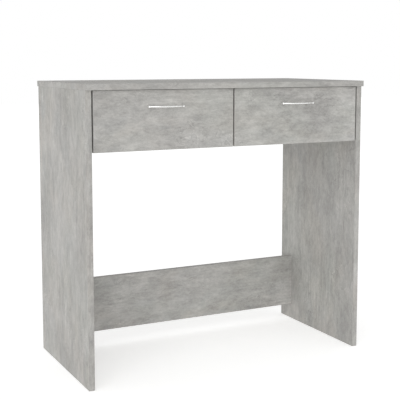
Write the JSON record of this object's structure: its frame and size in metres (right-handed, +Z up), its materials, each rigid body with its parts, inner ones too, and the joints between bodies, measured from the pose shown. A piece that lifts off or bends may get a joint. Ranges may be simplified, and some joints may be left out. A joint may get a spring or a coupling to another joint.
{
  "type": "writing desk with drawers",
  "caption": "Narrow writing desk with a flat top on side panels, a low rear stretcher, and shallow drawers side by side on roller runners with slim bow handles.",
  "frame": {"origin": "on the floor, under the middle of the whole desk with its handles", "axes": "+X to the right as seen from the front, +Y to the back, +Z up"},
  "size_m": [0.8, 0.412, 0.75],
  "materials": {
    "concrete_board": "matt melamine face with a soft grey concrete pattern",
    "edge_band": "matt edge band in the board colour",
    "drawer_board": "matt light grey foil",
    "drawer_bottom": "matt lacquered fibreboard",
    "handle_chrome": "bright plated",
    "zinc": "zinc plated",
    "runner_steel": "white powder coat",
    "nylon": "moulded nylon",
    "beech": "bare fluted beech"
  },
  "bodies": {
    "cabinet": {"top_board": "concrete_board", "top_edge_bands": "edge_band", "left_side_panel": "concrete_board", "left_side_edge_bands": "edge_band", "right_side_panel": "concrete_board", "right_side_edge_bands": "edge_band", "stretcher_panel": "concrete_board", "stretcher_edge_bands": "edge_band", "upper_back_panel": "concrete_board", "centre_divider": "concrete_board", "inner_edge_bands": "edge_band", "cam_locks": "zinc", "cam_bolts": "zinc", "dowels": "beech", "left_bay_left_runner": "runner_steel", "left_bay_right_runner": "runner_steel", "right_bay_left_runner": "runner_steel", "right_bay_right_runner": "runner_steel", "cabinet_runner_screws": "zinc", "cabinet_roller_rivets": "zinc"},
    "left_drawer": {"left_drawer_front": "concrete_board", "left_drawer_front_bands": "edge_band", "left_drawer_left_side": "drawer_board", "left_drawer_right_side": "drawer_board", "left_drawer_back": "drawer_board", "left_drawer_bottom": "drawer_bottom", "left_drawer_left_runner": "runner_steel", "left_drawer_right_runner": "runner_steel", "left_drawer_roller_rivets": "zinc", "left_drawer_runner_screws": "zinc", "left_drawer_cam_locks": "zinc", "left_drawer_cam_bolts": "zinc", "left_drawer_dowels": "beech", "left_drawer_box_screws": "zinc", "left_handle": "handle_chrome", "left_handle_screws": "zinc"},
    "right_drawer": {"right_drawer_front": "concrete_board", "right_drawer_front_bands": "edge_band", "right_drawer_left_side": "drawer_board", "right_drawer_right_side": "drawer_board", "right_drawer_back": "drawer_board", "right_drawer_bottom": "drawer_bottom", "right_drawer_left_runner": "runner_steel", "right_drawer_right_runner": "runner_steel", "right_drawer_roller_rivets": "zinc", "right_drawer_runner_screws": "zinc", "right_drawer_cam_locks": "zinc", "right_drawer_cam_bolts": "zinc", "right_drawer_dowels": "beech", "right_drawer_box_screws": "zinc", "right_handle": "handle_chrome", "right_handle_screws": "zinc"},
    "left_bay_left_roller": {"left_bay_left_roller": "nylon"},
    "left_drawer_left_roller": {"left_drawer_left_roller": "nylon"},
    "left_bay_right_roller": {"left_bay_right_roller": "nylon"},
    "left_drawer_right_roller": {"left_drawer_right_roller": "nylon"},
    "right_bay_left_roller": {"right_bay_left_roller": "nylon"},
    "right_drawer_left_roller": {"right_drawer_left_roller": "nylon"},
    "right_bay_right_roller": {"right_bay_right_roller": "nylon"},
    "right_drawer_right_roller": {"right_drawer_right_roller": "nylon"}
  },
  "joints": [
    {"name": "left_drawer_slide", "type": "slide", "parent": "cabinet", "child": "left_drawer", "axis": [0, -1, 0], "range_m": [0, 0.225]},
    {"name": "right_drawer_slide", "type": "slide", "parent": "cabinet", "child": "right_drawer", "axis": [0, -1, 0], "range_m": [0, 0.225]},
    {"name": "left_bay_left_roller_turn", "type": "hinge", "parent": "cabinet", "child": "left_bay_left_roller", "pos_m": [-0.37965, -0.152, 0.6079], "axis": [1, 0, 0], "range_deg": [0, 1290]},
    {"name": "left_drawer_left_roller_turn", "type": "hinge", "parent": "left_drawer", "child": "left_drawer_left_roller", "pos_m": [-0.37795, 0.119, 0.6053], "axis": [1, 0, 0], "range_deg": [0, 1290]},
    {"name": "left_bay_right_roller_turn", "type": "hinge", "parent": "cabinet", "child": "left_bay_right_roller", "pos_m": [-0.01285, -0.152, 0.6079], "axis": [1, 0, 0], "range_deg": [0, 1290]},
    {"name": "left_drawer_right_roller_turn", "type": "hinge", "parent": "left_drawer", "child": "left_drawer_right_roller", "pos_m": [-0.01455, 0.119, 0.6053], "axis": [1, 0, 0], "range_deg": [0, 1290]},
    {"name": "right_bay_left_roller_turn", "type": "hinge", "parent": "cabinet", "child": "right_bay_left_roller", "pos_m": [0.01285, -0.152, 0.6079], "axis": [1, 0, 0], "range_deg": [0, 1290]},
    {"name": "right_drawer_left_roller_turn", "type": "hinge", "parent": "right_drawer", "child": "right_drawer_left_roller", "pos_m": [0.01455, 0.119, 0.6053], "axis": [1, 0, 0], "range_deg": [0, 1290]},
    {"name": "right_bay_right_roller_turn", "type": "hinge", "parent": "cabinet", "child": "right_bay_right_roller", "pos_m": [0.37965, -0.152, 0.6079], "axis": [1, 0, 0], "range_deg": [0, 1290]},
    {"name": "right_drawer_right_roller_turn", "type": "hinge", "parent": "right_drawer", "child": "right_drawer_right_roller", "pos_m": [0.37795, 0.119, 0.6053], "axis": [1, 0, 0], "range_deg": [0, 1290]}
  ],
  "couplings": [
    {"joint": "left_bay_left_roller_turn", "follows": "left_drawer_slide", "rad_per_m": 100},
    {"joint": "left_drawer_left_roller_turn", "follows": "left_drawer_slide", "rad_per_m": 100},
    {"joint": "left_bay_right_roller_turn", "follows": "left_drawer_slide", "rad_per_m": 100},
    {"joint": "left_drawer_right_roller_turn", "follows": "left_drawer_slide", "rad_per_m": 100},
    {"joint": "right_bay_left_roller_turn", "follows": "right_drawer_slide", "rad_per_m": 100},
    {"joint": "right_drawer_left_roller_turn", "follows": "right_drawer_slide", "rad_per_m": 100},
    {"joint": "right_bay_right_roller_turn", "follows": "right_drawer_slide", "rad_per_m": 100},
    {"joint": "right_drawer_right_roller_turn", "follows": "right_drawer_slide", "rad_per_m": 100}
  ]
}
